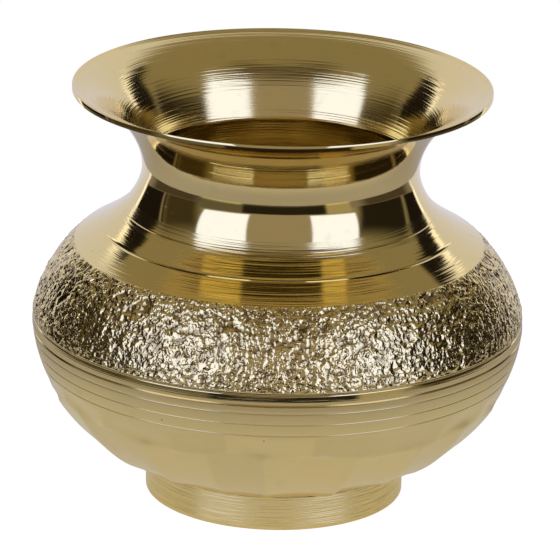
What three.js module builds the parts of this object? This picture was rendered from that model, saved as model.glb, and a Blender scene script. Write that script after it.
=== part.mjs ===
// Brass kalash: an open water pot made of three thin shells on a ring foot, joined by brazed laps.
// Millimetres, +Z up. The origin is the centre of the foot's resting face.
// Every piece is turned about the Z axis. The outer outline runs through named stations, and each
// shell takes its own stretch of that outline, so the joints follow whatever size changes.
import * as THREE from "three";

// Radii of the outer outline
const footRadius = 39.2;
const baseRadius = 22; // edge of the flat bottom
const knuckleRadius = 51.3; // soft corner between the underside and the side of the bowl
const bellyRadius = 74.1; // widest line
const bandTopRadius = 61.4; // upper edge of the hammered band
const neckSeamRadius = 48.1;
const waistRadius = 41.6;
const rimRadius = 62.7;

// Heights, each from the station below it
const baseClearance = 5.6; // from the resting face to the flat bottom
const undersideRise = 9.3;
const bowlRise = 39.8;
const bandRise = 23.5;
const shoulderRise = 9.7;
const neckRise = 13.7;
const mouthRise = 23.9;
const rimEdge = 1.5; // height of the mouth's cut edge

// Headings of the outline, in degrees: 0 is straight outwards and 90 is straight up
const flat = 0;
const upright = 90;
const knuckleHeading = 30;
const bandTopHeading = 140;
const shoulderFootHeading = 151; // the shoulder leaves the band at a slight crease
const neckSeamHeading = 135;
const rimHeading = 8;

// Fullness of each stretch of the outline: a curve's handles, as a share of its chord
const undersideFullness = 0.19;
const bowlFullness = 0.3;
const bandFullness = 0.28;
const shoulderFullness = 0.34;
const neckFullness = 0.31;
const mouthFullness = 0.4;

// Metal
const wall = 1.2;
const footWall = 1.8;
const edgeBevel = 0.3;

// Lapped joints and their filler
const brazeGap = 0.1;
const spigotWall = 1;
const bellySeamDrop = 2.4; // seam below the widest line
const bellySpigotRise = 4.5;
const neckSpigotDrop = 3;
const neckLand = 0.8; // width of the flat face that the collar stands on
const filletLeg = 1.4;

// Fine turned lines
const lineWidth = 0.5;
const lineDepth = 0.25;
const bandLineRise = 0.6; // above the widest line
const shoulderLineDrop = 4.3; // below the neck seam
const bowlLineDrops = [4.9, 8.4, 12]; // below the widest line

// Fineness
const facets = 48;
const shortSpan = 3; // steps on each stretch of the outline
const middleSpan = 6;
const longSpan = 8;

const polished = { color: 0xc9a860, metalness: 1, roughness: 0.12 };
const hammered = { color: 0xb79a5c, metalness: 1, roughness: 0.3 };
const planished = { color: 0xbfa56a, metalness: 1, roughness: 0.25 };
const satin = { color: 0xb99b5e, metalness: 1, roughness: 0.42 };
const filler = { color: 0xa88a48, metalness: 1, roughness: 0.5 };

function at(radius, height) {
  return new THREE.Vector2(radius, height);
}

function station(radius, height, heading) {
  return { point: at(radius, height), heading: THREE.MathUtils.degToRad(heading) };
}

// One smooth stretch of the outline between two stations
function span(from, to, fullness, steps) {
  const reach = fullness * from.point.distanceTo(to.point);
  const leave = at(reach * Math.cos(from.heading), reach * Math.sin(from.heading));
  const arrive = at(reach * Math.cos(to.heading), reach * Math.sin(to.heading));
  const firstHandle = from.point.clone().add(leave);
  const lastHandle = to.point.clone().sub(arrive);
  return new THREE.CubicBezierCurve(from.point, firstHandle, lastHandle, to.point).getPoints(steps);
}

// Lines that meet end to end, as one
function joined(...lines) {
  return lines.flatMap((line, index) => (index ? line.slice(1) : line));
}

// An upward line moved square to itself towards the inside of the pot
function inset(line, distance) {
  return line.map((point, index) => {
    const before = line[Math.max(index - 1, 0)];
    const after = line[Math.min(index + 1, line.length - 1)];
    const along = after.clone().sub(before).normalize();
    return at(point.x - along.y * distance, point.y + along.x * distance);
  });
}

// Where a line first passes a value of one coordinate, the other coordinate
function crossing(line, known, value, wanted) {
  const after = line.findIndex((point, index) => {
    return index > 0 && (point[known] - value) * (line[index - 1][known] - value) <= 0;
  });
  const [low, high] = [line[after - 1], line[after]];
  const share = (value - low[known]) / (high[known] - low[known]);
  return THREE.MathUtils.lerp(low[wanted], high[wanted], share);
}

function radiusAt(line, height) {
  return crossing(line, "y", height, "x");
}

function heightAt(line, radius) {
  return crossing(line, "x", radius, "y");
}

// The part of an upward line between two heights
function stretch(line, bottom, top) {
  const inside = line.filter((point) => point.y > bottom && point.y < top);
  return [at(radiusAt(line, bottom), bottom), ...inside, at(radiusAt(line, top), top)];
}

// A fine V-shaped line cut round an upward outline
function engraved(line, height) {
  const below = stretch(line, line[0].y, height - lineWidth / 2);
  const above = stretch(line, height + lineWidth / 2, line.at(-1).y);
  return [...below, at(radiusAt(line, height) - lineDepth, height), ...above];
}

// A solid of revolution; the outline runs anticlockwise with the radius across and the height up
function turned(name, outline, finish) {
  const geometry = new THREE.LatheGeometry(outline, facets);
  geometry.rotateX(Math.PI / 2);
  const mesh = new THREE.Mesh(geometry, new THREE.MeshStandardMaterial(finish));
  mesh.name = name;
  return mesh;
}

function turnedRing(name, outline, finish) {
  return turned(name, [...outline, outline[0]], finish);
}

const knuckleHeight = baseClearance + undersideRise;
const bellyHeight = knuckleHeight + bowlRise;
const bandTopHeight = bellyHeight + bandRise;
const neckSeamHeight = bandTopHeight + shoulderRise;
const waistHeight = neckSeamHeight + neckRise;
const rimHeight = waistHeight + mouthRise; // lower corner of the cut edge

const base = station(baseRadius, baseClearance, flat);
const knuckle = station(knuckleRadius, knuckleHeight, knuckleHeading);
const belly = station(bellyRadius, bellyHeight, upright);
const bandTop = station(bandTopRadius, bandTopHeight, bandTopHeading);
const shoulderFoot = station(bandTopRadius, bandTopHeight, shoulderFootHeading);
const neckSeam = station(neckSeamRadius, neckSeamHeight, neckSeamHeading);
const waist = station(waistRadius, waistHeight, upright);
const rim = station(rimRadius, rimHeight, rimHeading);

const underside = span(base, knuckle, undersideFullness, middleSpan);
const bowlSide = span(knuckle, belly, bowlFullness, longSpan);
const bandSide = span(belly, bandTop, bandFullness, middleSpan);
const shoulderSide = span(shoulderFoot, neckSeam, shoulderFullness, shortSpan);
const neckSide = span(neckSeam, waist, neckFullness, middleSpan);
const mouthSide = span(waist, rim, mouthFullness, longSpan);
const lowerSide = joined(underside, bowlSide);
const upperSide = joined(bandSide, shoulderSide, neckSide, mouthSide);
const lowerInside = inset(lowerSide, wall);
const upperInside = inset(upperSide, wall);

// Belly joint: the bowl's spigot stands inside the shoulder shell, which rests on the bowl's ledge
const bellySeamHeight = bellyHeight - bellySeamDrop;
const bellySpigotTop = bellySeamHeight + bellySpigotRise;
const bellySocket = bellyRadius - wall;
const bellySpigotRadius = Math.min(bellySocket, radiusAt(upperInside, bellySpigotTop)) - brazeGap;

// Neck joint: the collar's spigot hangs inside the shoulder's bore, and its ledge rests on the land
const neckLandHeight = neckSeamHeight - edgeBevel;
const neckBore = neckSeamRadius - neckLand;
const neckSpigotRadius = neckBore - brazeGap;

const footBore = footRadius - footWall;

function mouthCollar() {
  const spigotBore = neckSpigotRadius - spigotWall;
  const spigotBottom = neckLandHeight - neckSpigotDrop;
  const spigotTop = heightAt(upperInside, spigotBore);
  const inside = upperInside.slice(0, -1).filter((point) => point.y > spigotTop);
  const top = rimHeight + rimEdge;
  return turnedRing("mouth_collar", [
    at(spigotBore, spigotBottom),
    at(neckSpigotRadius, spigotBottom),
    at(neckSpigotRadius, neckLandHeight),
    at(neckSeamRadius - edgeBevel, neckLandHeight),
    ...joined(neckSide, mouthSide),
    at(rimRadius, top - edgeBevel),
    at(rimRadius - edgeBevel, top),
    ...inside.reverse(),
    at(spigotBore, spigotTop),
  ], polished);
}

function neckBraze() {
  const topHeight = heightAt(upperInside, neckBore) - brazeGap;
  const farRadius = neckBore + filletLeg;
  return turnedRing("neck_seam_braze", [
    at(neckBore, topHeight - filletLeg),
    at(farRadius, heightAt(upperInside, farRadius) - brazeGap),
    at(neckBore, topHeight),
  ], filler);
}

function shoulderShell() {
  const lines = [bellyHeight + bandLineRise, neckSeamHeight - shoulderLineDrop];
  const plain = stretch(joined(lowerSide, upperSide), bellySeamHeight, neckLandHeight);
  const boreBottom = heightAt(upperInside, neckBore);
  const inside = upperInside.filter((point) => point.y < boreBottom);
  return turnedRing("shoulder_shell", [
    at(bellySocket, bellySeamHeight),
    ...lines.reduce(engraved, plain),
    at(neckBore, neckLandHeight),
    at(neckBore, boreBottom),
    ...inside.reverse(),
  ], hammered);
}

function bellyBraze() {
  const topHeight = bellySpigotTop + filletLeg;
  return turnedRing("belly_seam_braze", [
    at(bellySpigotRadius - spigotWall, bellySpigotTop),
    at(bellySpigotRadius, bellySpigotTop),
    at(radiusAt(upperInside, topHeight) - brazeGap, topHeight),
  ], filler);
}

function lowerBowl() {
  const spigotBore = bellySpigotRadius - spigotWall;
  const spigotFoot = heightAt(lowerInside, spigotBore);
  const inside = lowerInside.filter((point) => point.y < spigotFoot);
  const plain = stretch(lowerSide, baseClearance, bellySeamHeight - edgeBevel);
  const lines = bowlLineDrops.map((drop) => bellyHeight - drop);
  return turned("lower_bowl", [
    at(0, baseClearance),
    ...lines.reduce(engraved, plain),
    at(radiusAt(lowerSide, bellySeamHeight) - edgeBevel, bellySeamHeight),
    at(bellySpigotRadius, bellySeamHeight),
    at(bellySpigotRadius, bellySpigotTop),
    at(spigotBore, bellySpigotTop),
    at(spigotBore, spigotFoot),
    ...inside.reverse(),
    at(0, baseClearance + wall),
  ], planished);
}

function footBraze() {
  const outerRadius = footBore - brazeGap;
  const innerRadius = outerRadius - filletLeg;
  const topHeight = heightAt(underside, outerRadius) - brazeGap;
  return turnedRing("foot_braze", [
    at(innerRadius, heightAt(underside, innerRadius) - brazeGap),
    at(outerRadius, topHeight - filletLeg),
    at(outerRadius, topHeight),
  ], filler);
}

// The foot's top edge is scribed to the bowl's underside
function footRing() {
  return turnedRing("foot_ring", [
    at(footBore, 0),
    at(footRadius - edgeBevel, 0),
    at(footRadius, edgeBevel),
    at(footRadius, heightAt(underside, footRadius) - brazeGap),
    at(footBore, heightAt(underside, footBore) - brazeGap),
  ], satin);
}

const kalash = new THREE.Group();
kalash.add(
  mouthCollar(),
  neckBraze(),
  shoulderShell(),
  bellyBraze(),
  lowerBowl(),
  footBraze(),
  footRing(),
);

export default kalash;
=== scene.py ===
# Brass kalash pot: polished mouth collar and shoulder, a hammered band round the belly,
# a planished lower bowl and a satin ring foot, brazed together.
import math
import random

import bmesh
import bpy
from mathutils import Matrix, Vector, noise
from mathutils.geometry import interpolate_bezier


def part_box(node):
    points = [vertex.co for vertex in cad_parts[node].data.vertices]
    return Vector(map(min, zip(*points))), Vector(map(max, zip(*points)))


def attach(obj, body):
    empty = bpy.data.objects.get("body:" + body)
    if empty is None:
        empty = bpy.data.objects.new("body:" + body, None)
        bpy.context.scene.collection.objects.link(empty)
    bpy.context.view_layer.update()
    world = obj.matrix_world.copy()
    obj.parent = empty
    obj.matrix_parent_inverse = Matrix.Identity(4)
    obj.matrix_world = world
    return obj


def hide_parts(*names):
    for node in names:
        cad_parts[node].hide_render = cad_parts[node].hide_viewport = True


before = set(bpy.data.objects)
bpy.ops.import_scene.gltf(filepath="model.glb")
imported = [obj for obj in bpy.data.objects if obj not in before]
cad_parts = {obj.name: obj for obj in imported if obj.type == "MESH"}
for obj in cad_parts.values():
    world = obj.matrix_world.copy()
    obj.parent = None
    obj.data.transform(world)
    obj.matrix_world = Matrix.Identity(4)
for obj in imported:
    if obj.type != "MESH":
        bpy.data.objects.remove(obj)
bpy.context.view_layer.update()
print("frame loaded:", sorted(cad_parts))

mm = 0.001
turnAxis = (0, 0, 1)

# outline, in millimetres; what the frame can tell comes from the frame
collarLow, collarHigh = (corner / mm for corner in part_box("mouth_collar"))
shellLow, shellHigh = (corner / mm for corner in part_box("shoulder_shell"))
bowlLow, bowlHigh = (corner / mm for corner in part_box("lower_bowl"))
footLow, footHigh = (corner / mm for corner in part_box("foot_ring"))

form = {
    "wall": 1.2,
    "rimEdge": 1.5,  # height of the mouth's cut edge
    "seamDrop": 2.4,  # belly seam below the widest line
    "landDrop": 0.1,  # neck land below the neck seam
    "baseRadius": 22,
    "knuckle": (51.3, 39.8),  # radius, and how far below the widest line
    "bandTop": (61.6, 9.4),  # radius, and how far below the neck seam
    "neckSeamRadius": 48.0,
    "waist": (41.6, 23.9),  # radius, and how far below the mouth's edge
    "headings": {
        "base": 0, "knuckle": 30, "belly": 90, "bandTop": 140, "shoulderFoot": 150, "shoulderTop": 138,
        "neckSeam": 135, "waist": 90, "rim": 8,
    },
    "fullness": [0.19, 0.3, 0.28, 0.34, 0.31, 0.34],
    "steps": [20, 54, 44, 20, 30, 44],
}

seamHeight = shellLow.z
bellyHeight = seamHeight + form["seamDrop"]
neckSeamHeight = shellHigh.z + form["landDrop"]
rimHeight = collarHigh.z - form["rimEdge"]
landHeight = shellHigh.z
bellyRadius = shellHigh.x
rimRadius = collarHigh.x
footRadius = footHigh.x
bandTopHeight = neckSeamHeight - form["bandTop"][1]


def at(radius, height):
    return Vector((radius, 0, height))


def headed(heading):
    # a direction along the outline: 0 is outwards, 90 is up
    return at(math.cos(math.radians(heading)), math.sin(math.radians(heading)))


def station(name, radius, height):
    return at(radius, height), headed(form["headings"][name])


def span(start, end, fullness, steps):
    (startPoint, startWay), (endPoint, endWay) = start, end
    reach = fullness * (endPoint - startPoint).length
    return interpolate_bezier(startPoint, startPoint + startWay * reach,
                              endPoint - endWay * reach, endPoint, steps + 1)


def joined(*lines):
    whole = list(lines[0])
    for line in lines[1:]:
        whole += line[1:]
    return whole


def inset(line, depth):
    # moves an upward line square to itself, towards the inside of the pot
    moved = []
    for index, point in enumerate(line):
        along = (line[min(index + 1, len(line) - 1)] - line[max(index - 1, 0)]).normalized()
        moved.append(point + Vector((-along.z, 0, along.x)) * depth)
    return moved


def radiusAt(line, height):
    for low, high in zip(line, line[1:]):
        if (low.z - height) * (high.z - height) <= 0 and low.z != high.z:
            return low.x + (high.x - low.x) * (height - low.z) / (high.z - low.z)
    return min(line, key=lambda point: abs(point.z - height)).x


def heightAt(line, radius):
    for low, high in zip(line, line[1:]):
        if (low.x - radius) * (high.x - radius) <= 0 and low.x != high.x:
            return low.z + (high.z - low.z) * (radius - low.x) / (high.x - low.x)
    return min(line, key=lambda point: abs(point.x - radius)).z


def evenlySpaced(line, count):
    # the same line with evenly spaced points
    lengths = [0]
    for low, high in zip(line, line[1:]):
        lengths.append(lengths[-1] + (high - low).length)
    points = []
    place = 0
    for index in range(count):
        wanted = lengths[-1] * index / (count - 1)
        while place < len(line) - 2 and lengths[place + 1] < wanted:
            place += 1
        share = (wanted - lengths[place]) / (lengths[place + 1] - lengths[place])
        points.append(line[place].lerp(line[place + 1], min(max(share, 0), 1)))
    return points


# points nearer than this to an end or to a cut are left out
endSpare = 0.05
cutSpare = 0.02
boreSpare = 0.2
bevelMiddle = 0.3  # how far in a bevel's middle point lies, as a share of the bevel


def stretch(line, bottom, top):
    # the part of an upward line between two heights
    inside = [point for point in line if bottom + endSpare < point.z < top - endSpare]
    return [at(radiusAt(line, bottom), bottom)] + inside + [at(radiusAt(line, top), top)]


# a round-bottomed groove: shares of its half width from the middle, and of its depth
grooveShape = [(-1, 0), (-0.8, 0.12), (-0.25, 0.9), (0.25, 0.9), (0.8, 0.12), (1, 0)]


def engraved(line, height, width, depth):
    # cuts a fine groove into an upward outline
    half = width / 2
    below = [point for point in line if point.z < height - half - cutSpare]
    above = [point for point in line if point.z > height + half + cutSpare]
    cut = [(height + half * across, depth * share) for across, share in grooveShape]
    groove = [at(radiusAt(line, level) - inward, level) for level, inward in cut]
    return below + groove + above


base = station("base", form["baseRadius"], bowlLow.z)
knuckle = station("knuckle", form["knuckle"][0], bellyHeight - form["knuckle"][1])
belly = station("belly", bellyRadius, bellyHeight)
# the outline has a slight crease above the band and another at the neck seam
bandTop = station("bandTop", form["bandTop"][0], bandTopHeight)
shoulderFoot = station("shoulderFoot", form["bandTop"][0], bandTopHeight)
shoulderTop = station("shoulderTop", form["neckSeamRadius"], neckSeamHeight)
neckSeam = station("neckSeam", form["neckSeamRadius"], neckSeamHeight)
waist = station("waist", form["waist"][0], rimHeight - form["waist"][1])
rim = station("rim", rimRadius, rimHeight)
pairs = [
    (base, knuckle), (knuckle, belly), (belly, bandTop),
    (shoulderFoot, shoulderTop), (neckSeam, waist), (waist, rim),
]
spans = [
    span(start, end, fullness, steps)
    for (start, end), fullness, steps in zip(pairs, form["fullness"], form["steps"])
]
underside, bowlSide, bandSide, shoulderSide, neckSide, mouthSide = spans
lowerSide = joined(underside, bowlSide)
upperSide = joined(bandSide, shoulderSide, neckSide, mouthSide)
lowerInside = inset(lowerSide, form["wall"])
upperInside = inset(upperSide, form["wall"])
print("outline ready")


# making pieces
wedges = 24  # the steps of every turned piece are a multiple of it
mergeDistance = 0.002


def turned(name, profile, steps, shape=None):
    # spins a closed profile, moves its points with shape, and returns the finished object
    # a wedge is spun first and then repeated, which is far quicker than one long spin
    bm = bmesh.new()
    dots = [bm.verts.new(point * mm) for point in profile]
    sides = [pair for pair in zip(dots, dots[1:] + dots[:1]) if pair[0].co.x + pair[1].co.x > 0]
    lines = [bm.edges.new(side) for side in sides]  # none on the axis
    bmesh.ops.spin(bm, geom=dots + lines, cent=(0, 0, 0), axis=turnAxis, dvec=(0, 0, 0),
                   angle=math.tau / wedges, steps=steps // wedges, use_merge=False, use_duplicate=False)
    wedge = bm.verts[:] + bm.edges[:] + bm.faces[:]
    for index in range(1, wedges):
        copy = bmesh.ops.duplicate(bm, geom=wedge)["geom"]
        copiedDots = [item for item in copy if isinstance(item, bmesh.types.BMVert)]
        turn = Matrix.Rotation(math.tau * index / wedges, 3, "Z")
        bmesh.ops.rotate(bm, cent=(0, 0, 0), matrix=turn, verts=copiedDots)
    bmesh.ops.remove_doubles(bm, verts=bm.verts[:], dist=mergeDistance * mm)
    bmesh.ops.recalc_face_normals(bm, faces=bm.faces[:])
    if shape:
        bm.normal_update()
        moves = [(dot, shape(dot.co / mm, dot.normal)) for dot in bm.verts]
        for dot, depth in moves:
            dot.co += dot.normal * depth * mm
    mesh = bpy.data.meshes.new(name)
    bm.to_mesh(mesh)
    bm.free()
    mesh.shade_smooth()
    piece = bpy.data.objects.new(name, mesh)
    bpy.context.scene.collection.objects.link(piece)
    return piece


def softened(piece, limit):
    # keeps corners sharper than limit crisp, and everything else smooth
    piece.data.set_sharp_from_angle(angle=math.radians(limit))


def facesOut(face):
    return face.center.x * face.normal.x + face.center.y * face.normal.y > 0


def turnOf(point):
    # where a point is on its way round, from 0 to 1
    return (math.atan2(point.y, point.x) / math.tau) % 1


def finished(piece, node, slotName, *finishes):
    for finish in finishes:
        piece.data.materials.append(finish)
    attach(piece, "root")
    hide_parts(node)
    print("piece", piece.name, len(piece.data.polygons), "faces")


def ease(value, low, high):
    share = min(max((value - low) / (high - low), 0), 1)
    return share * share * (3 - 2 * share)


# shader maths
class Wire:
    def __init__(self, tree, socket=None):
        self.tree = tree
        self.socket = socket

    def node(self, kind, settings=None, sockets=None, out=0):
        made = self.tree.nodes.new(kind)
        for name, value in (settings or {}).items():
            setattr(made, name, value)
        for name, value in (sockets or {}).items():
            if isinstance(value, Wire):
                self.tree.links.new(value.socket, made.inputs[name])
            else:
                made.inputs[name].default_value = value
        return Wire(self.tree, made.outputs[out] if made.outputs else None)

    def maths(self, operation, *values):
        return self.node("ShaderNodeMath", {"operation": operation}, dict(enumerate(values)))

    def __add__(self, other):
        return self.maths("ADD", self, other)

    def __sub__(self, other):
        return self.maths("SUBTRACT", self, other)

    def __mul__(self, other):
        return self.maths("MULTIPLY", self, other)

    def __radd__(self, other):
        return self.maths("ADD", other, self)

    def __rsub__(self, other):
        return self.maths("SUBTRACT", other, self)

    def __rmul__(self, other):
        return self.maths("MULTIPLY", other, self)

    def absolute(self):
        return self.maths("ABSOLUTE", self)

    def rise(self, low, high):
        # 0 below low, 1 above high, smooth between
        settings = {"interpolation_type": "SMOOTHSTEP", "clamp": True}
        return self.node("ShaderNodeMapRange", settings, {0: self, 1: low, 2: high, 3: 0.0, 4: 1.0})

    def between(self, low, high, soft):
        # 1 inside the two limits, 0 outside, over a soft edge
        return self.rise(low - soft, low + soft) * (1 - self.rise(high - soft, high + soft))

    def vector(self, x, y, z):
        return self.node("ShaderNodeCombineXYZ", None, {0: x, 1: y, 2: z})

    def scaled(self, factor):
        return self.node("ShaderNodeVectorMath", {"operation": "SCALE"}, {0: self, "Scale": factor})

    def parts(self):
        split = self.node("ShaderNodeSeparateXYZ", None, {0: self}).socket.node
        return [Wire(self.tree, output) for output in split.outputs]

    def clouded(self, size, detail, roughness=0.5, out=0):
        # noise with features about size across
        sockets = {"Vector": self, "Scale": 1 / size, "Detail": detail, "Roughness": roughness}
        return self.node("ShaderNodeTexNoise", None, sockets, out)

    def celled(self, size):
        sockets = {"Vector": self, "Scale": 1 / size, "Randomness": 1.0}
        return self.node("ShaderNodeTexVoronoi", None, sockets)

    def mixed(self, under, over):
        # self is the mask
        sides = {0: self, 6: under, 7: over}
        return self.node("ShaderNodeMix", {"data_type": "RGBA", "clamp_factor": True}, sides, 2)


def emptyTree(owner):
    owner.use_nodes = True
    owner.node_tree.nodes.clear()
    return Wire(owner.node_tree)


def colour(red, green, blue):
    return (red, green, blue, 1)


# camera
lens = {
    "focal": 282.86,
    "sensor": 36,
    "distance": 1.3283,
    "lookUp": 0.0656,  # height of the point it aims at
    "offset": 0.00052,
    "elevation": 18.84,
    "roll": 1.354,
}


def makeCamera():
    data = bpy.data.cameras.new("camera")
    data.lens = lens["focal"]
    data.sensor_width = lens["sensor"]
    camera = bpy.data.objects.new("camera", data)
    bpy.context.scene.collection.objects.link(camera)
    lift = math.radians(lens["elevation"])
    back = Vector((0, -math.cos(lift), math.sin(lift)))
    camera.location = Vector((lens["offset"], 0, lens["lookUp"])) + back * lens["distance"]
    aim = (-back).to_track_quat("-Z", "Y").to_matrix().to_4x4()
    roll = Matrix.Rotation(math.radians(lens["roll"]), 4, "Z")
    camera.matrix_world = Matrix.Translation(camera.location) @ aim @ roll
    bpy.context.scene.camera = camera


makeCamera()
print("camera ready")

# studio: two tall softboxes in front, dark flags at the sides, a pale backdrop behind
studio = {
    "ceiling": colour(0.27, 0.235, 0.16),
    "frontWall": colour(0.33, 0.295, 0.27),
    "valance": colour(0.085, 0.065, 0.045),  # dark strip above the softboxes
    "leftCurtain": colour(0.05, 0.04, 0.023),
    "rightCurtain": colour(0.018, 0.015, 0.011),
    "flag": colour(0.012, 0.009, 0.008),
    "slit": colour(0.2, 0.18, 0.15),
    "backdrop": colour(0.72, 0.72, 0.86),
    "edgeStrip": colour(1.3, 1.3, 1.45),
    "softbox": colour(1.2, 1.42, 2.7),
    "tableEnd": colour(0.02, 0.018, 0.014),
    "tableEndLow": colour(0.17, 0.15, 0.11),
    "tableSide": colour(0.23, 0.21, 0.2),
    "tableShade": colour(0.13, 0.12, 0.1),
    "tableDusk": colour(0.07, 0.055, 0.045),
    "tableGleam": colour(0.4, 0.36, 0.25),
    "tableGlow": colour(0.98, 0.92, 0.57),
}

# where each thing stands, in degrees: sideways from the camera, or up from the horizon
# two numbers are a soft edge, and three are two limits and their softness; a minus sign is left or down
standing = {
    "wallTop": (52, 57), "wallEnd": (45, 75),
    "valance": (53, 69, 3), "valanceEnd": (40, 75),
    "hangingFoot": (-13, -10), "curtainTop": (18, 42),
    "flagTop": (36, 38), "rightFlagHigher": 4,
    "leftCurtain": (68, 106, 8), "rightCurtain": (67, 117, 5),
    "leftFlag": (102.5, 105.5), "rightFlag": (117.5, 120.5), "flagBack": (137, 139),
    "leftSlit": (106, 108.5, 0.7), "rightSlit": (115, 117.5, 0.7),
    "backdrop": (138, 139.5), "backdropTop": (38, 50),
    "edgeStrip": (138.5, 142.5, 0.6), "edgeStripTop": (26, 36),
    "softboxInner": (23, 25), "softboxOuter": (61, 63.5), "softbox": (1, 49, 1.2),
    "tableTop": (-11.5, -9.5), "tableBack": (132, 142), "nearTop": (-2.5, -0.5), "low": (-24.5, -20.5),
    "leftShade": (66, 110, 3), "nearShade": (-68, -31, 2), "gleam": (37, 60, 2),
    "leftGlow": (-70, -32, 2), "rightGlow": (39, 60, 2), "tableEnd": (-31, 38, 2),
    "dusk": (72, 127, 7), "duskTop": (-12, -10),
}
slant = {
    "narrowing": (20, 34),  # elevations over which the flags narrow
    "narrowed": 22,  # by how many degrees
    "rightNarrowed": 0.6,  # the right flag's share of that
    "flagLean": 0.08,  # degrees sideways for each degree up, here and below
    "rightFlagMore": 0.09,
    "softboxInner": 0.12,
    "softboxOuter": 0.2,
    "leftSoftboxMore": 0.12,
}


def makeWorld():
    world = bpy.data.worlds.new("studio")
    bpy.context.scene.world = world
    w = emptyTree(world)
    ray = w.node("ShaderNodeTexCoord")
    x, y, z = ray.parts()
    degrees = 180 / math.pi
    azimuth = w.maths("ARCTAN2", x, 0 - y) * degrees  # 0 towards the camera, + to the right
    elevation = w.maths("ARCSINE", z) * degrees
    side = azimuth.absolute()
    left = 1 - azimuth.rise(-0.5, 0.5)
    right = 1 - left

    def across(name):
        return side.between(*standing[name])

    def turnedBy(name):
        return azimuth.between(*standing[name])

    def above(name):
        return elevation.rise(*standing[name])

    def below(name):
        return 1 - above(name)

    # walls, curtains and flags
    look = below("wallTop").mixed(studio["ceiling"], studio["frontWall"])
    look = side.rise(*standing["wallEnd"]).mixed(look, studio["ceiling"])
    valance = (1 - side.rise(*standing["valanceEnd"])) * elevation.between(*standing["valance"])
    look = valance.mixed(look, studio["valance"])
    hung = above("hangingFoot")
    curtain = hung * below("curtainTop")
    flagLow, flagHigh = (limit + right * standing["rightFlagHigher"] for limit in standing["flagTop"])
    flagged = hung * (1 - elevation.rise(flagLow, flagHigh))
    drawn = elevation.rise(*slant["narrowing"]) * slant["narrowed"]
    outside = side - elevation * (slant["flagLean"] + right * slant["rightFlagMore"])
    look = (left * across("leftCurtain") * curtain).mixed(look, studio["leftCurtain"])
    look = (right * across("rightCurtain") * curtain).mixed(look, studio["rightCurtain"])
    flagBack = 1 - outside.rise(*standing["flagBack"])
    leftFlag = (side - drawn).rise(*standing["leftFlag"]) * flagBack
    rightFlag = (side - drawn * slant["rightNarrowed"]).rise(*standing["rightFlag"]) * flagBack
    look = (left * leftFlag * flagged).mixed(look, studio["flag"])
    look = (right * rightFlag * flagged).mixed(look, studio["flag"])
    look = (left * across("leftSlit") * flagged).mixed(look, studio["slit"])
    look = (right * across("rightSlit") * curtain).mixed(look, studio["slit"])

    # the pale backdrop and the bright strip at its edge
    behind = outside.rise(*standing["backdrop"]) * below("backdropTop")
    look = behind.mixed(look, studio["backdrop"])
    strip = outside.between(*standing["edgeStrip"]) * below("edgeStripTop")
    look = strip.mixed(look, studio["edgeStrip"])

    # softboxes, wider at the top, the left one more so
    inner = side - elevation * slant["softboxInner"]
    outer = side - elevation * (slant["softboxOuter"] + left * slant["leftSoftboxMore"])
    lit = inner.rise(*standing["softboxInner"]) * (1 - outer.rise(*standing["softboxOuter"]))
    look = (lit * elevation.between(*standing["softbox"])).mixed(look, studio["softbox"])

    # what lies below: the table's far side, its shaded parts, its dark end and the glow beside that
    beyond = below("tableTop")
    look = (beyond * (1 - side.rise(*standing["tableBack"]))).mixed(look, studio["tableSide"])
    under = below("nearTop")
    look = (left * across("leftShade") * beyond).mixed(look, studio["tableShade"])
    look = (turnedBy("nearShade") * under).mixed(look, studio["tableShade"])
    low = below("low")
    look = (turnedBy("gleam") * under).mixed(look, studio["tableGleam"])
    glowing = turnedBy("leftGlow") + turnedBy("rightGlow")
    look = (glowing * low).mixed(look, studio["tableGlow"])
    end = low.mixed(studio["tableEnd"], studio["tableEndLow"])
    look = (turnedBy("tableEnd") * under).mixed(look, end)
    look = (across("dusk") * below("duskTop")).mixed(look, studio["tableDusk"])

    seen = w.node("ShaderNodeLightPath")
    white = seen.mixed(look, colour(1, 1, 1))
    background = w.node("ShaderNodeBackground", None, {0: white, 1: 1.0})
    w.node("ShaderNodeOutputWorld", None, {0: background})


makeWorld()
bpy.context.scene.view_settings.view_transform = "Standard"

table = {
    "radius": 0.275,
    "segments": 128,
    "albedo": 0.78,
    "tint": (0.96, 1.0, 1.04),
    "lift": 0.8,  # keeps the table white where it is seen directly
    "nearBounce": (0.31, 0.29, 0.2),  # light it adds close to the pot
    "farBounce": (0.1, 0.07, 0.0),  # and far out
    "fade": (0.08, 0.17),  # distances from the middle over which one becomes the other
}


def makeTable():
    bm = bmesh.new()
    bmesh.ops.create_circle(bm, cap_ends=True, segments=table["segments"], radius=table["radius"])
    mesh = bpy.data.meshes.new("table")
    bm.to_mesh(mesh)
    bm.free()
    floor = bpy.data.objects.new("table", mesh)
    bpy.context.scene.collection.objects.link(floor)
    paint = bpy.data.materials.new("palePaper")
    w = emptyTree(paint)
    shade = [table["albedo"] * part for part in table["tint"]]
    paper = w.node("ShaderNodeBsdfDiffuse", None, {0: colour(*shade)})
    seen = w.node("ShaderNodeLightPath")
    x, y = w.node("ShaderNodeTexCoord", None, None, 3).parts()[:2]
    far = w.maths("SQRT", x * x + y * y).rise(*table["fade"])
    bounce = far.mixed(colour(*table["nearBounce"]), colour(*table["farBounce"]))
    lift = seen.mixed(bounce, colour(*[table["lift"]] * 3))
    glow = w.node("ShaderNodeEmission", None, {0: lift, 1: 1.0})
    both = w.node("ShaderNodeAddShader", None, {0: paper, 1: glow})
    w.node("ShaderNodeOutputMaterial", None, {0: both})
    mesh.materials.append(paint)


makeTable()
print("studio ready")

# brass
brass = (0.85, 0.68, 0.3)


def shaded(factor, tint=(1, 1, 1)):
    return tuple(part * factor * lean for part, lean in zip(brass, tint))


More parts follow.
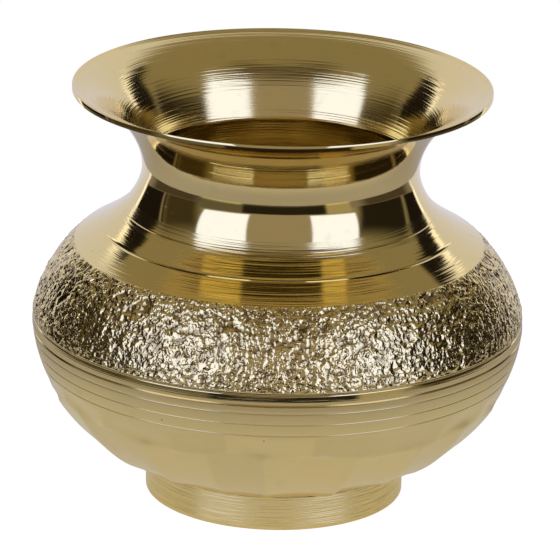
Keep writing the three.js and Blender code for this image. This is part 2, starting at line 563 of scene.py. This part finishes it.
# what every finish shares: sizes in millimetres, limits of the noise, and strengths
grain = {
    "ringDrift": (0.012, 0.007),  # how fast the turning marks change on the way round
    "fineRings": (6, 0.07),  # how many times finer, and their share of the depth
    "stray": (1 / 0.9, 1.1),  # size and reach of what pulls the pits out of shape
    "calm": (8, 0.6, 0.68, 0.7),  # patches left smoother by the texturing hammer: size, limits and strength
    "pinholes": (8, 0.02, 0.04),  # spacing, and limits of their size as shares of it
    "pinholeClouds": (17, 0.44, 0.5),
    "pinholeDepth": 0.15,
    "pinholeDark": 0.9,
    "clouds": (23, 0.3, 0.7),
    "smudges": (5, 0.56, 0.78),
    "stainTone": 0.72,
    "stainRough": 0.1,
    "facetToneAndShade": 0.8,
    "leastRough": 0.03,
}
marks = {
    "pinhole": colour(0.05, 0.035, 0.015),
    "hollow": colour(0.32, 0.22, 0.09),
    # darker brass mixed into the bowl's facets: a random tone for each facet, and painted shade on the
    # upper row
    "facet": colour(*shaded(0.8, (1.0, 0.98, 1.02))),
}


def brassFinish(name, look):
    material = bpy.data.materials.new(name)
    w = emptyTree(material)
    place = w.node("ShaderNodeTexCoord", None, None, 3).scaled(1 / mm)
    x, y, z = place.parts()
    radius = w.maths("SQRT", x * x + y * y)

    # turning marks
    driftX, driftY = grain["ringDrift"]
    rings = w.vector(radius, z, x * driftX + y * driftY)
    finer, share = grain["fineRings"]
    coarse = rings.clouded(look["ringSize"], 1.5)
    fine = rings.clouded(look["ringSize"] / finer, 2.0)
    height = coarse * look["ringDepth"] + fine * (look["ringDepth"] * share)

    # soft unevenness left by the hammer and the wheel
    height = height + place.clouded(look["swellSize"], 1.0) * look["swellDepth"]
    height = height + place.clouded(look["gritSize"], 2.0) * look["gritDepth"]

    if look.get("peen"):
        # pits of the texturing hammer, with sharp ridges between them
        size, depth = look["peen"]
        straySize, reach = grain["stray"]
        strayed = w.node("ShaderNodeVectorMath", {"operation": "MULTIPLY_ADD"}, {
            0: place.clouded(straySize, 1.0, out=1), 1: (reach, reach, reach), 2: place,
        })
        calmSize, calmLow, calmHigh, calmStrength = grain["calm"]
        calm = place.clouded(calmSize, 1.0).rise(calmLow, calmHigh)
        height = (height + strayed.celled(size) * depth) * (1 - calm * calmStrength)

    # pinholes and specks
    spacing, least, most = grain["pinholes"]
    cloudSize, cloudLow, cloudHigh = grain["pinholeClouds"]
    dots = 1 - place.celled(spacing).rise(least, most)
    pinhole = dots * place.clouded(cloudSize, 1.0).rise(cloudLow, cloudHigh) * look["pinholes"]
    height = height - pinhole * grain["pinholeDepth"]

    # patina: broad warm and cool clouds, and small smudges
    cloudSize, cloudLow, cloudHigh = grain["clouds"]
    smudgeSize, smudgeLow, smudgeHigh = grain["smudges"]
    cloud = place.clouded(cloudSize, 3.0, 0.6).rise(cloudLow, cloudHigh)
    smudge = place.clouded(smudgeSize, 4.0, 0.65)
    stain = smudge.rise(smudgeLow, smudgeHigh) * look["stain"]
    tone = cloud.mixed(colour(*look["cool"]), colour(*look["warm"]))
    tone = stain.mixed(tone, colour(*[part * grain["stainTone"] for part in look["warm"]]))
    tone = (pinhole * grain["pinholeDark"]).mixed(tone, marks["pinhole"])
    if look.get("depthLayer"):
        hollow = w.node("ShaderNodeAttribute", {"attribute_name": look["depthLayer"]}, None, 2)
        tone = (hollow * look["hollowDark"]).mixed(tone, marks["hollow"])
    # the bowl's facets: a random tone for each, and painted shade that darkens the upper row
    if look.get("facetLayer"):
        facet = w.node("ShaderNodeAttribute", {"attribute_name": look["facetLayer"]}, None, 2)
        tone = (facet * grain["facetToneAndShade"]).mixed(tone, marks["facet"])

    # both noises lie about 0.5
    rough = look["rough"] + (smudge - 0.5) * look["roughSpread"] + stain * grain["stainRough"]
    rough = rough + (coarse - 0.5) * look["ringRough"]
    bump = w.node("ShaderNodeBump", None, {"Strength": 1.0, "Distance": mm, "Height": height})
    surface = w.node("ShaderNodeBsdfPrincipled", None, {
        "Base Color": tone,
        "Metallic": 1.0,
        "Roughness": w.maths("MAXIMUM", rough, grain["leastRough"]),
        "Normal": bump,
    })
    w.node("ShaderNodeOutputMaterial", None, {0: surface})
    return material


polished = {
    "rough": 0.06, "roughSpread": 0.04, "ringRough": 0.03,
    "ringSize": 0.9, "ringDepth": 0.006,
    "swellSize": 12, "swellDepth": 0.03,
    "gritSize": 0.5, "gritDepth": 0.0006,
    "pinholes": 0.35, "stain": 0.25,
    "cool": shaded(0.98, (0.99, 1.0, 1.0)), "warm": shaded(1.0, (1.01, 0.99, 0.96)),
}
turnedInside = dict(polished, rough=0.11, ringRough=0.1, ringSize=0.6, ringDepth=0.1, stain=0.35)
# painted shade: the pot's inside is given darker brass than the outside, standing in for the shade inside
# the vessel
paintedShadeInside = dict(turnedInside, cool=shaded(0.78), warm=shaded(0.78, (1.0, 0.97, 0.92)))
turnedShoulder = dict(polished, rough=0.07, ringSize=0.6, ringDepth=0.04, ringRough=0.04)
hammered = dict(
    polished, rough=0.1, roughSpread=0.08, ringDepth=0.0, ringRough=0.0, swellSize=1.1, swellDepth=0.2,
    gritDepth=0.02, peen=(1.5, 0.28), stain=0.5, pinholes=0.0,  # peen: size and depth of the pits
    depthLayer="hollow", hollowDark=0.85,
)
planished = dict(
    polished, rough=0.2, roughSpread=0.1, ringSize=1.6, ringDepth=0.012, ringRough=0.03, swellSize=9,
    swellDepth=0.03, gritSize=0.7, gritDepth=0.001, pinholes=1.0, stain=0.3, facetLayer="facet",
    cool=shaded(0.97, (0.98, 1.0, 0.99)), warm=shaded(0.99, (1.01, 0.98, 0.93)),
)
satin = dict(
    planished, facetLayer=None, rough=0.24, roughSpread=0.06, ringSize=0.32, ringDepth=0.2,
    swellDepth=0.02, stain=0.2, cool=shaded(0.97), warm=shaded(0.97, (1.0, 0.98, 0.95)),
)
filler = dict(
    planished, facetLayer=None, rough=0.5, ringDepth=0.0, gritDepth=0.05, swellSize=2, swellDepth=0.3,
    stain=0.8,
)

polishedBrass = brassFinish("polishedBrass", polished)
turnedInsideBrass = brassFinish("turnedInsideBrass", turnedInside)
paintedShadeInsideBrass = brassFinish("paintedShadeInsideBrass", paintedShadeInside)
turnedShoulderBrass = brassFinish("turnedShoulderBrass", turnedShoulder)
hammeredBrass = brassFinish("hammeredBrass", hammered)
planishedBrass = brassFinish("planishedBrass", planished)
satinBrass = brassFinish("satinBrass", satin)
brazeFiller = brassFinish("brazeFiller", filler)
print("finishes ready")

# mouth collar
collar = {
    "steps": 288,
    "spigotRadius": 47.2,
    "spigotWall": 1.0,
    "spigotDrop": 3.0,
    "bevel": 0.3,
    "crispFrom": 25,  # degrees between faces
    "wobble": (0.12, 30),  # how far out of round, and over what height it changes
    "seamLine": (1.4, 0.4, 0.2),  # above the neck seam, width, depth
    "lip": (0.7, 1.1),  # thickness of the flare, low down and at the edge
    "crease": (40.4, 21.5),  # radius of the throat's crease, and how far below the mouth's edge
    "creaseHeadings": (98, 75),  # just below the crease and just above it
    "throatFoot": 130,  # heading where the throat leaves the bore
    "flareFoot": 6,  # where the flare starts above the crease
    "thickens": 8,  # where it starts to thicken
    "edgeRun": 1.0,  # plain run between the flare and its cut edge
    "fullness": 0.33,
    "throatSteps": 20,
    "openingSteps": 10,
    "flatTop": 0.5,  # a face that looks up more than this is turned, not polished
}


def makeCollar():
    top = collarHigh.z
    bore = collar["spigotRadius"] - collar["spigotWall"]
    bottom = landHeight - collar["spigotDrop"]
    boreTop = heightAt(upperInside, bore)
    bevel = collar["bevel"]
    rise, width, depth = collar["seamLine"]
    outer = engraved(joined(neckSide, mouthSide), neckSeamHeight + rise, width, depth)

    # the inside: up the throat to its crease, then out along the flare
    creaseRadius, creaseDrop = collar["crease"]
    belowCrease, aboveCrease = (headed(heading) for heading in collar["creaseHeadings"])
    crease = at(creaseRadius, rimHeight - creaseDrop)
    thin, thick = (inset(mouthSide, depth) for depth in collar["lip"])
    thickFrom = crease.z + collar["thickens"]
    flare = [low.lerp(high, ease(low.z, thickFrom, rimHeight)) for low, high in zip(thin, thick)]
    flareFoot = crease.z + collar["flareFoot"]
    flare = [point for point in flare if point.z > flareFoot and point.x < rimRadius - collar["edgeRun"]]
    throat = span((at(bore, boreTop), headed(collar["throatFoot"])), (crease, belowCrease),
                  collar["fullness"], collar["throatSteps"])
    opening = span((crease, aboveCrease), (flare[0], (flare[1] - flare[0]).normalized()),
                   collar["fullness"], collar["openingSteps"])
    inside = joined(throat, opening, flare)
    profile = [
        at(bore, bottom),
        at(collar["spigotRadius"], bottom),
        at(collar["spigotRadius"], landHeight),
        at(radiusAt(upperSide, landHeight), landHeight),
        *outer,
        at(rimRadius, top - bevel),
        at(rimRadius - bevel * bevelMiddle, top - bevel * bevelMiddle),
        at(rimRadius - bevel, top),
        *reversed(inside),
    ]

    def shape(point, way):
        # the sheet isn't perfectly round or flat
        angle = math.atan2(point.y, point.x)
        share = ease(point.z, neckSeamHeight, rimHeight)
        reach, height = collar["wobble"]
        return reach * share * noise.noise(Vector((math.cos(angle), math.sin(angle), point.z / height)))

    piece = turned("mouthCollar", profile, collar["steps"], shape)
    softened(piece, collar["crispFrom"])
    finished(piece, "mouth_collar", "polished_brass", polishedBrass, turnedInsideBrass)
    for face in piece.data.polygons:
        face.material_index = 0 if facesOut(face) and face.normal.z < collar["flatTop"] else 1


# shoulder shell: the plain parts, then the hammered band let into them
shell = {
    "steps": 288,
    "socket": 72.9,
    "bore": 47.3,
    "bandFoot": 1.5,  # lower edge of the band above the widest line
    "bandBed": 0.6,  # how deep the band is let in
    "seamBevel": (0.36, 0.45),  # width, height
    "crispFrom": 28,
    "beadHeadings": (88, 100),  # the plain bead under the band, at its foot and its top
    "beadInset": 0.28,  # top of the bead inside the widest line
    "beadFullness": 0.33,
    "beadSteps": 14,
    "grooves": [(0.9, 0.3, 0.1)],  # above the widest line, width, depth
    "shoulderLine": (4.3, 0.45, 0.22),  # below the neck seam, width, depth
}
bandFootHeight = bellyHeight + shell["bandFoot"]


def makeShell():
    upward, inward = (headed(heading) for heading in shell["beadHeadings"])
    bevelWidth, bevelHeight = shell["seamBevel"]
    beadFoot = at(bellyRadius, seamHeight + bevelHeight)
    beadTop = at(bellyRadius - shell["beadInset"], bandFootHeight)
    bead = span((beadFoot, upward), (beadTop, inward), shell["beadFullness"], shell["beadSteps"])
    outer = joined(bead, stretch(upperSide, bandFootHeight + endSpare, landHeight))
    for rise, width, depth in shell["grooves"]:
        outer = engraved(outer, bellyHeight + rise, width, depth)
    drop, width, depth = shell["shoulderLine"]
    outer = engraved(outer, neckSeamHeight - drop, width, depth)
    lower = [point for point in outer if point.z < bandFootHeight]
    upper = [point for point in outer if point.z > bandTopHeight]
    bedLine = inset(stretch(bandSide, bandFootHeight, bandTopHeight), shell["bandBed"])
    bedFoot = at(radiusAt(outer, bandFootHeight), bandFootHeight)
    bedTop = at(radiusAt(outer, bandTopHeight), bandTopHeight)
    boreBottom = heightAt(upperInside, shell["bore"])
    inside = [point for point in upperInside if point.z < boreBottom - boreSpare][::2]
    profile = [
        at(shell["socket"], seamHeight),
        at(radiusAt(lowerSide, seamHeight) - bevelWidth, seamHeight),
        *lower, bedFoot, *bedLine, bedTop, *upper,
        at(shell["bore"], landHeight),
        at(shell["bore"], boreBottom),
        *reversed(inside),
    ]
    piece = turned("shoulderShell", profile, shell["steps"])
    softened(piece, shell["crispFrom"])
    finished(piece, "shoulder_shell", "polished_brass", turnedShoulderBrass, paintedShadeInsideBrass)
    for face in piece.data.polygons:
        face.material_index = 0 if facesOut(face) else 1


band = {
    "steps": 1152,
    "rows": 76,
    "backRows": 9,
    "backGap": (0.05, 0.02),  # between its back and its bed, and above the bed's foot
    "lump": (1.0, 0.27),  # size and height of the small lumps
    "widerLump": (1.9, 0.45),  # the same for the lumps mixed in with them, as shares
    "dent": (3.0, 0.26),  # size and depth of the wider dents
    "patch": (7.0, 0.12, 0.42, 0.8),  # smoother patches: size, limits of the noise and strength
    "sunk": 0.06,  # how far the whole skin lies in
    "border": (0.5, 0.15),  # width over which the lumps die out at the edges, and the least
    "borderWander": (1.3, 0.9),  # size and share of its unevenness
    "front": 0.2,  # a point that looks outwards less than this is on the back
    "hollow": (0.05, 0.28),  # depths over which the dark in the hollows comes in
}
# shifts between the noises, so that they don't follow each other
otherLumps = Vector((7, 3, 1))
otherPatches = Vector((2, 9, 4))
otherDents = Vector((5, 5, 5))


def makeBand():
    skin = stretch(bandSide, bandFootHeight, bandTopHeight)
    backGap, footGap = band["backGap"]
    line = evenlySpaced(skin, band["rows"])
    back = evenlySpaced(inset(skin, shell["bandBed"] - backGap), band["backRows"])
    back[0].z = max(back[0].z, bandFootHeight + footGap)
    profile = line + list(reversed(back))
    lumpSize, lumpHeight = band["lump"]
    wider, widerShare = band["widerLump"]
    dentSize, dentDepth = band["dent"]
    patchSize, patchLow, patchHigh, calming = band["patch"]
    borderWidth, leastBorder = band["border"]
    wanderSize, wanderShare = band["borderWander"]

    def shape(point, way):
        flatWay = Vector((point.x, point.y, 0)).normalized()
        if way.dot(flatWay) < band["front"]:
            return 0
        border = borderWidth * (1 + wanderShare * noise.noise(point / wanderSize))
        toEdge = min(point.z - bandFootHeight, bandTopHeight - point.z)
        alive = ease(toEdge, 0, max(border, leastBorder))
        lump = noise.noise(point / lumpSize)
        lump += widerShare * noise.noise(point / (lumpSize * wider) + otherLumps)
        calm = ease(noise.noise(point / patchSize + otherPatches), patchLow, patchHigh)
        dent = noise.noise(point / dentSize + otherDents)
        return alive * (lump * lumpHeight * (1 - calming * calm) + dent * dentDepth - band["sunk"])

    piece = turned("hammeredBand", profile, band["steps"], shape)
    layer = piece.data.attributes.new("hollow", "FLOAT", "POINT")
    for index, dot in enumerate(piece.data.vertices):
        point = dot.co / mm
        true = radiusAt(bandSide, min(max(point.z, bandFootHeight), bandTopHeight))
        depth = true - math.hypot(point.x, point.y)
        layer.data[index].value = ease(depth, *band["hollow"])
    finished(piece, "shoulder_shell", "hammered_brass", hammeredBrass)


# lower bowl
bowl = {
    "steps": 360,
    "spigotRadius": 72.5,
    "spigotWall": 1.0,
    "spigotTop": 56.8,
    "bevel": 0.35,
    "crispFrom": 28,
    "lines": [(4.9, 0.3, 0.1), (8.5, 0.3, 0.1), (12.3, 0.3, 0.1)],  # below the widest line, width, depth
    "facets": 20,
    "flatness": 0.8,  # share of a true flat
    "rowBreak": (34, 1.2),  # height where the facets stagger, and half the width of the change
    "rowMiddles": (25, 38),
    "leans": (0.045, -0.045),  # tilt of the lower and the upper row
    "facetFoot": (30, 34, 40),  # radii: none inside the first, all of them outside the last
    "facetTop": (41, 5),  # height where they end, and how far below it they start to fade
    "ragged": (3.5, 3),  # how far the rows' edges wander, and how often
    "seed": 11,
    "uneven": (0.16, 0.04),  # spread of the facets' edges, in facets, and of their leans
    "swell": (0.1, 13, 40, 50),  # reach, size and the radii over which it comes in
    # tone of the plain brass, a facet's spread, how far down it starts, and more for the upper row (painted
    # shade, darkening the upper row)
    "tone": (0.5, 0.6, 0.4, 0.15),
    "toneFade": 1,  # half the height over which a facet's tone ends
    "bottomSpare": 0.5,  # a face less than this above the bottom is on its underside
}


def makeFacets():
    # uneven flats round the bowl, in two staggered rows
    # a flat is its start and width in turns, its lean and its tone
    draw = random.Random(bowl["seed"])
    count = bowl["facets"]
    edgeSpread, leanSpread = bowl["uneven"]
    rows = []
    for row in range(2):
        shift = row * 0.5
        cuts = [(index + draw.uniform(-edgeSpread, edgeSpread) + shift) / count for index in range(count)]
        widths = [(cuts[(index + 1) % count] - cuts[index]) % 1 for index in range(count)]
        leans = [bowl["leans"][row] + draw.uniform(-leanSpread, leanSpread) for cut in cuts]
        rows.append(list(zip(cuts, widths, leans, [draw.random() for cut in cuts])))
    return rows


def makeBowl():
    rows = makeFacets()
    outer = stretch(lowerSide, bowlLow.z, seamHeight - bowl["bevel"])[1:]
    outer = [point for point in lowerSide if point.z < outer[0].z] + outer
    for drop, width, depth in bowl["lines"]:
        outer = engraved(outer, bellyHeight - drop, width, depth)
    bore = bowl["spigotRadius"] - bowl["spigotWall"]
    boreFoot = heightAt(lowerInside, bore)
    inside = [point for point in lowerInside if point.z < boreFoot - boreSpare][::2]
    profile = [
        at(0, bowlLow.z),
        at(form["baseRadius"] * 0.5, bowlLow.z),
        *outer,
        at(radiusAt(lowerSide, seamHeight) - bowl["bevel"], seamHeight),
        at(bowl["spigotRadius"], seamHeight),
        at(bowl["spigotRadius"], bowl["spigotTop"]),
        at(bore, bowl["spigotTop"]),
        at(bore, boreFoot),
        *reversed(inside),
        at(0, bowlLow.z + form["wall"]),
    ]

    rowBreak, halfBreak = bowl["rowBreak"]
    facetTop, fading = bowl["facetTop"]
    noFacets, facetFoot, allFacets = bowl["facetFoot"]
    wander, often = bowl["ragged"]
    swellReach, swellSize, swellFrom, swellTo = bowl["swell"]

    def flat(row, turn, point, radius):
        for start, width, lean, tone in rows[row]:
            share = (turn - start) % 1
            if share < width:
                across = share / width * 2 - 1
                sag = (width * math.tau * radius) ** 2 / (8 * radius)
                tip = lean * (point.z - bowl["rowMiddles"][row])
                return tip - bowl["flatness"] * sag * (1 - across * across)
        return 0

    def ragged(turn):
        angle = turn * math.tau
        return wander * noise.noise(Vector((math.cos(angle) * often, math.sin(angle) * often, 2)))

    def shape(point, way):
        radius = math.hypot(point.x, point.y)
        outward = way.x * point.x + way.y * point.y
        if radius < noFacets or outward <= 0 or point.z > facetTop + wander or point.z < bowlLow.z + 1:
            return 0
        turn = turnOf(point)
        edge = ragged(turn)
        lower = 1 - ease(point.z, rowBreak - halfBreak + edge, rowBreak + halfBreak + edge)
        fade = 1 - ease(point.z, facetTop - fading + edge, facetTop + edge)
        start = ease(radius, facetFoot, allFacets)
        swell = swellReach * noise.noise(point / swellSize) * ease(radius, swellFrom, swellTo)
        flats = flat(0, turn, point, radius) * lower + flat(1, turn, point, radius) * (1 - lower)
        return (start * flats + swell) * fade

    piece = turned("lowerBowl", profile, bowl["steps"], shape)
    layer = piece.data.attributes.new("facet", "FLOAT", "POINT")
    plainTone, spread, down, upperRowShade = bowl["tone"]
    for index, dot in enumerate(piece.data.vertices):
        point = dot.co / mm
        turn = turnOf(point)
        edge = ragged(turn)
        row = 0 if point.z < rowBreak + edge else 1
        tone = next(tone for start, width, lean, tone in rows[row] if (turn - start) % 1 < width)
        toned = 1 - ease(point.z, facetTop - bowl["toneFade"] + edge, facetTop + bowl["toneFade"] + edge)
        # the upper row's extra share is painted shade
        layer.data[index].value = plainTone + (tone * spread - down + row * upperRowShade) * toned
    softened(piece, bowl["crispFrom"])
    finished(piece, "lower_bowl", "planished_brass", planishedBrass, paintedShadeInsideBrass)
    bottom = (bowlLow.z + bowl["bottomSpare"]) * mm
    for face in piece.data.polygons:
        face.material_index = 0 if facesOut(face) or face.center.z < bottom else 1


# ring foot, scribed to the underside of the bowl
foot = {
    "steps": 240,
    "bore": 37.4,
    "bevel": 0.35,
    "crispFrom": 30,
    "sink": 0.5,  # how far it is scribed into the bowl
    "outerRows": 10,
    "innerRows": 6,
    "ripple": (0.05, 0.4, 8),  # reach, and the sizes round the foot and up it
    "level": 0.5,  # a point that looks up or down more than this has no ripple
}


def makeFoot():
    radius = footRadius
    bevel = foot["bevel"]
    top = heightAt(underside, radius) + foot["sink"]
    boreTop = heightAt(underside, foot["bore"]) + foot["sink"]
    outerRows, innerRows = foot["outerRows"], foot["innerRows"]
    rise = [at(radius, bevel + (top - bevel) * index / outerRows) for index in range(outerRows + 1)]
    profile = [
        at(foot["bore"], 0),
        at(radius - bevel, 0),
        at(radius - bevel * bevelMiddle, bevel * bevelMiddle),
        *rise,
        at(foot["bore"], boreTop),
        *[at(foot["bore"], boreTop * (1 - index / innerRows)) for index in range(1, innerRows)],
    ]

    def shape(point, way):
        if abs(way.z) > foot["level"]:
            return 0
        angle = math.atan2(point.y, point.x)
        reach, around, height = foot["ripple"]
        place = Vector((math.cos(angle) / around, math.sin(angle) / around, point.z / height))
        return reach * noise.noise(place)

    piece = turned("footRing", profile, foot["steps"], shape)
    softened(piece, foot["crispFrom"])
    finished(piece, "foot_ring", "satin_brass", satinBrass)


# brazed fillets, each lying in the corner between two pieces
fillet = {
    "leg": 1.4,
    "gap": 0.1,
    "steps": 360,
    "sideSteps": 4,
    "bow": 0.22,  # how far its free face is hollowed towards its middle, as a share
    "lump": (0.12, 2.2),  # height, size
}


def makeFillet(name, node, corners, freeFace):
    # corners run anticlockwise; the free face bows inwards
    middle = sum(corners, Vector()) / len(corners)
    lumpHeight, lumpSize = fillet["lump"]
    profile = []
    for index, corner in enumerate(corners):
        nextCorner = corners[(index + 1) % len(corners)]
        for step in range(fillet["sideSteps"]):
            share = step / fillet["sideSteps"]
            point = corner.lerp(nextCorner, share)
            if index == freeFace:
                point = point.lerp(middle, math.sin(math.pi * share) * fillet["bow"])
            profile.append(point)

    def shape(point, way):
        return -lumpHeight * (0.5 + 0.5 * noise.noise(point / lumpSize))

    piece = turned(name, profile, fillet["steps"], shape)
    finished(piece, node, "braze_filler", brazeFiller)


def makeFillets():
    leg, gap = fillet["leg"], fillet["gap"]
    bore = shell["bore"]
    neckTop = heightAt(upperInside, bore) - gap
    far = bore + leg
    makeFillet("neckSeamBraze", "neck_seam_braze", [
        at(bore, neckTop - leg), at(far, heightAt(upperInside, far) - gap), at(bore, neckTop),
    ], 0)
    spigotTop = bowl["spigotTop"]
    bellyTop = spigotTop + leg
    makeFillet("bellySeamBraze", "belly_seam_braze", [
        at(bowl["spigotRadius"] - bowl["spigotWall"], spigotTop), at(bowl["spigotRadius"], spigotTop),
        at(radiusAt(upperInside, bellyTop) - gap, bellyTop),
    ], 2)
    outerRadius = foot["bore"] - gap
    innerRadius = outerRadius - leg
    footTop = heightAt(underside, outerRadius) - gap
    makeFillet("footBraze", "foot_braze", [
        at(innerRadius, heightAt(underside, innerRadius) - gap), at(outerRadius, footTop - leg),
        at(outerRadius, footTop),
    ], 0)


makeCollar()
makeShell()
makeBand()
makeBowl()
makeFoot()
makeFillets()
